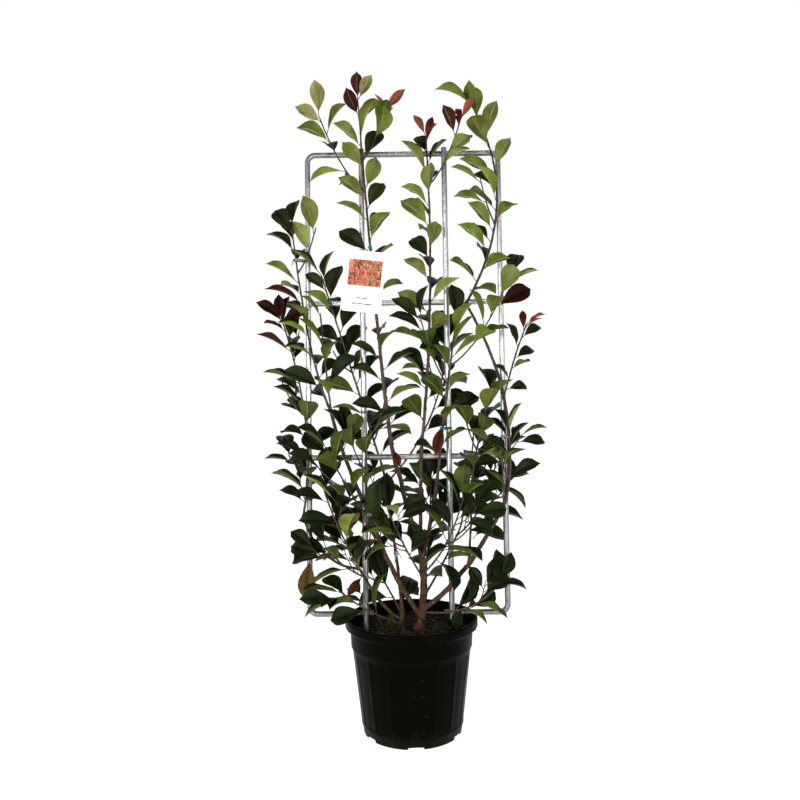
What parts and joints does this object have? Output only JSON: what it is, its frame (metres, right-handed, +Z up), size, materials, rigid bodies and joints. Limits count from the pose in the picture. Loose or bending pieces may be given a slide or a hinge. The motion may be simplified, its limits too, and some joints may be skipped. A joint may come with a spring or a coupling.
{
  "type": "potted photinia shrub on a tube trellis",
  "caption": "Young evergreen photinia shrub in a fluted nursery pot, its stems tied flat to a galvanised tube trellis, with a bare hanging label.",
  "frame": {"origin": "centre of the flat underside of the pot, on the surface that it stands on", "axes": "+Z up; the label and the posts of the trellis face -Y; +X is to the right seen from there; the trellis leans back towards +Y"},
  "size_m": [0.6636, 0.3151, 1.5044],
  "materials": {
    "pot": "satin",
    "compost": "matte",
    "steel_tube": "satin",
    "card": "satin",
    "twine": "matte",
    "tie": "satin",
    "bark": "matte",
    "foliage": "satin"
  },
  "bodies": {
    "root": {"pot": "pot", "soil": "compost", "label_card": "card", "label_twine": "twine", "tie_left_side": "tie", "tie_right_post": "tie", "tie_right_side": "tie", "left_side": "steel_tube", "right_side": "steel_tube", "top_bar": "steel_tube", "bottom_left_bar": "steel_tube", "bottom_right_bar": "steel_tube", "lower_rail": "steel_tube", "upper_rail": "steel_tube", "left_post": "steel_tube", "right_post": "steel_tube", "trunk": "bark", "second_stem": "bark", "left_bough_lower": "bark", "left_bough_upper": "bark", "low_left_bough": "bark", "far_left_bough": "bark", "back_bough": "bark", "front_left_bough": "bark", "front_right_bough": "bark", "centre_bough": "bark", "right_bough_lower": "bark", "right_bough_middle": "bark", "right_bough_upper": "bark", "inner_right_bough": "bark", "inner_back_bough": "bark", "front_left_foliage": "foliage", "centre_foliage": "foliage", "right_top_foliage": "foliage", "front_right_foliage": "foliage", "back_left_foliage": "foliage", "left_crown_foliage": "foliage", "left_inner_foliage": "foliage", "far_left_foliage": "foliage", "low_left_inner_foliage": "foliage", "low_left_foliage": "foliage", "left_rim_foliage": "foliage", "left_side_foliage": "foliage", "left_heart_foliage": "foliage", "right_rim_foliage": "foliage", "right_side_foliage": "foliage", "right_tip_foliage": "foliage", "inner_right_foliage": "foliage", "inner_back_foliage": "foliage", "back_right_foliage": "foliage", "centre_low_foliage": "foliage", "right_low_foliage": "foliage", "back_low_foliage": "foliage", "back_centre_foliage": "foliage", "back_upper_foliage": "foliage"}
  },
  "joints": []
}
